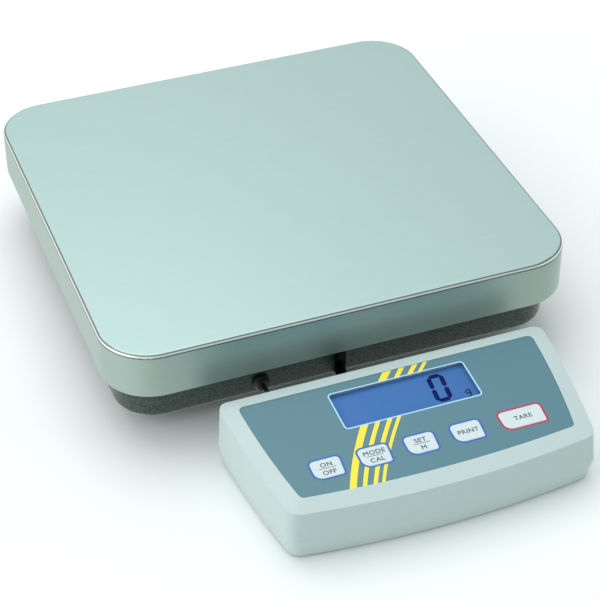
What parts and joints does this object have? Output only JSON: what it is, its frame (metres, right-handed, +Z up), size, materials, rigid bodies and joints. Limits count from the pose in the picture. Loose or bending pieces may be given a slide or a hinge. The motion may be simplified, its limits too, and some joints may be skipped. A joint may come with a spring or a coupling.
{
  "type": "animal weighing scale",
  "caption": "Low platform scale for animals: stainless weighing pan on a dark base with levelling feet, and a desk display unit with keys held in front by a strap.",
  "frame": {"origin": "on the floor, at the bottom centre of the whole scale's bounding box", "axes": "+X to the right seen from the display's side, +Y from the display unit to the platform's back, +Z up"},
  "size_m": [0.318, 0.439, 0.075],
  "materials": {
    "pan_steel": "satin",
    "hammertone_paint": "hammered",
    "machined_aluminium": "machined",
    "cast_aluminium": "cast",
    "zinc_steel": "zinc plated",
    "screw_steel": "plated",
    "black_plastic": "moulded",
    "vial_plastic": "clear",
    "cable_jacket": "satin",
    "black_rubber": "matte",
    "black_steel": "powder coated",
    "black_screw": "blackened",
    "housing_abs": "fine texture",
    "overlay_film": "satin film",
    "window_acrylic": "clear",
    "lcd_glass": "polarised",
    "light_guide": "diffusing",
    "circuit_board": "solder mask",
    "capacitor_can": "sleeved",
    "white_nylon": "moulded",
    "battery_can": "printed",
    "key_film": "satin film"
  },
  "bodies": {
    "base": {"base_casing": "hammertone_paint", "load_cell": "machined_aluminium", "lower_spacer": "zinc_steel", "load_cell_screws": "screw_steel", "overload_stop_screws": "screw_steel", "overload_stop_nuts": "screw_steel", "foot_bushes": "zinc_steel", "foot_lock_nuts": "screw_steel", "spirit_level_body": "black_plastic", "spirit_level_vial": "vial_plastic", "cable_gland": "black_plastic", "gland_nut": "black_plastic", "load_cell_lead": "cable_jacket", "signal_cable": "cable_jacket", "cable_inlet": "black_rubber", "bracket_arm": "black_steel", "bracket_screws": "black_screw", "lower_shell": "housing_abs", "upper_shell": "housing_abs", "keypad_overlay": "overlay_film", "lcd_window": "window_acrylic", "lcd_glass": "lcd_glass", "lcd_backlight": "light_guide", "display_board": "circuit_board", "display_board_screws": "screw_steel", "key_switches": "black_plastic", "main_board": "circuit_board", "main_board_screws": "screw_steel", "board_chips": "black_plastic", "board_capacitors": "capacitor_can", "cable_connector": "white_nylon", "display_lead": "cable_jacket", "serial_socket": "zinc_steel", "jack_socket": "black_plastic", "battery": "battery_can", "battery_snap": "black_plastic", "shell_screws": "screw_steel", "display_feet": "black_rubber"},
    "carrier": {"carrier_frame": "cast_aluminium", "upper_spacer": "zinc_steel", "carrier_screws": "screw_steel", "pan_cushion_front_left": "black_rubber", "pan_cushion_front_right": "black_rubber", "pan_cushion_back_left": "black_rubber", "pan_cushion_back_right": "black_rubber"},
    "pan": {"weighing_pan": "pan_steel"},
    "battery_cover": {"battery_cover": "housing_abs"},
    "foot_front_left": {"foot_pad_front_left": "black_rubber"},
    "stud_front_left": {"foot_stud_front_left": "zinc_steel"},
    "foot_front_right": {"foot_pad_front_right": "black_rubber"},
    "stud_front_right": {"foot_stud_front_right": "zinc_steel"},
    "foot_back_left": {"foot_pad_back_left": "black_rubber"},
    "stud_back_left": {"foot_stud_back_left": "zinc_steel"},
    "foot_back_right": {"foot_pad_back_right": "black_rubber"},
    "stud_back_right": {"foot_stud_back_right": "zinc_steel"},
    "key_on_off": {"key_on_off": "key_film"},
    "key_mode": {"key_mode": "key_film"},
    "key_set": {"key_set": "key_film"},
    "key_print": {"key_print": "key_film"},
    "key_tare": {"key_tare": "key_film"}
  },
  "joints": [
    {"name": "carrier_deflection", "type": "slide", "parent": "base", "child": "carrier", "axis": [0, 0, -1], "range_m": [0, 0.0005], "stiffness_N_per_m": 800000, "deforming": ["load_cell"]},
    {"name": "pan_lift", "type": "slide", "parent": "carrier", "child": "pan", "axis": [0, 0, 1], "range_m": [0, 0.06]},
    {"name": "battery_cover_release", "type": "slide", "parent": "base", "child": "battery_cover", "axis": [0, 0, -1], "range_m": [0, 0.012]},
    {"name": "foot_travel_front_left", "type": "slide", "parent": "base", "child": "foot_front_left", "axis": [0, 0, 1], "range_m": [-0.006, 0.0018]},
    {"name": "stud_turn_front_left", "type": "hinge", "parent": "foot_front_left", "child": "stud_front_left", "pos_m": [-0.1119, -0.0414, 0.006], "axis": [0, 0, 1], "range_deg": [-1730, 520]},
    {"name": "foot_travel_front_right", "type": "slide", "parent": "base", "child": "foot_front_right", "axis": [0, 0, 1], "range_m": [-0.006, 0.0018]},
    {"name": "stud_turn_front_right", "type": "hinge", "parent": "foot_front_right", "child": "stud_front_right", "pos_m": [0.1119, -0.0414, 0.006], "axis": [0, 0, 1], "range_deg": [-1730, 520]},
    {"name": "foot_travel_back_left", "type": "slide", "parent": "base", "child": "foot_back_left", "axis": [0, 0, 1], "range_m": [-0.006, 0.0018]},
    {"name": "stud_turn_back_left", "type": "hinge", "parent": "foot_back_left", "child": "stud_back_left", "pos_m": [-0.1119, 0.1724, 0.006], "axis": [0, 0, 1], "range_deg": [-1730, 520]},
    {"name": "foot_travel_back_right", "type": "slide", "parent": "base", "child": "foot_back_right", "axis": [0, 0, 1], "range_m": [-0.006, 0.0018]},
    {"name": "stud_turn_back_right", "type": "hinge", "parent": "foot_back_right", "child": "stud_back_right", "pos_m": [0.1119, 0.1724, 0.006], "axis": [0, 0, 1], "range_deg": [-1730, 520]},
    {"name": "key_on_off_press", "type": "slide", "parent": "base", "child": "key_on_off", "axis": [0, 0.0698, -0.9976], "range_m": [0, 0.0004], "stiffness_N_per_m": 4000},
    {"name": "key_mode_press", "type": "slide", "parent": "base", "child": "key_mode", "axis": [0, 0.0698, -0.9976], "range_m": [0, 0.0004], "stiffness_N_per_m": 4000},
    {"name": "key_set_press", "type": "slide", "parent": "base", "child": "key_set", "axis": [0, 0.0698, -0.9976], "range_m": [0, 0.0004], "stiffness_N_per_m": 4000},
    {"name": "key_print_press", "type": "slide", "parent": "base", "child": "key_print", "axis": [0, 0.0698, -0.9976], "range_m": [0, 0.0004], "stiffness_N_per_m": 4000},
    {"name": "key_tare_press", "type": "slide", "parent": "base", "child": "key_tare", "axis": [0, 0.0698, -0.9976], "range_m": [0, 0.0004], "stiffness_N_per_m": 4000}
  ],
  "couplings": [
    {"joint": "stud_turn_front_left", "follows": "foot_travel_front_left", "rad_per_m": 5026.6},
    {"joint": "stud_turn_front_right", "follows": "foot_travel_front_right", "rad_per_m": 5026.6},
    {"joint": "stud_turn_back_left", "follows": "foot_travel_back_left", "rad_per_m": 5026.6},
    {"joint": "stud_turn_back_right", "follows": "foot_travel_back_right", "rad_per_m": 5026.6}
  ]
}
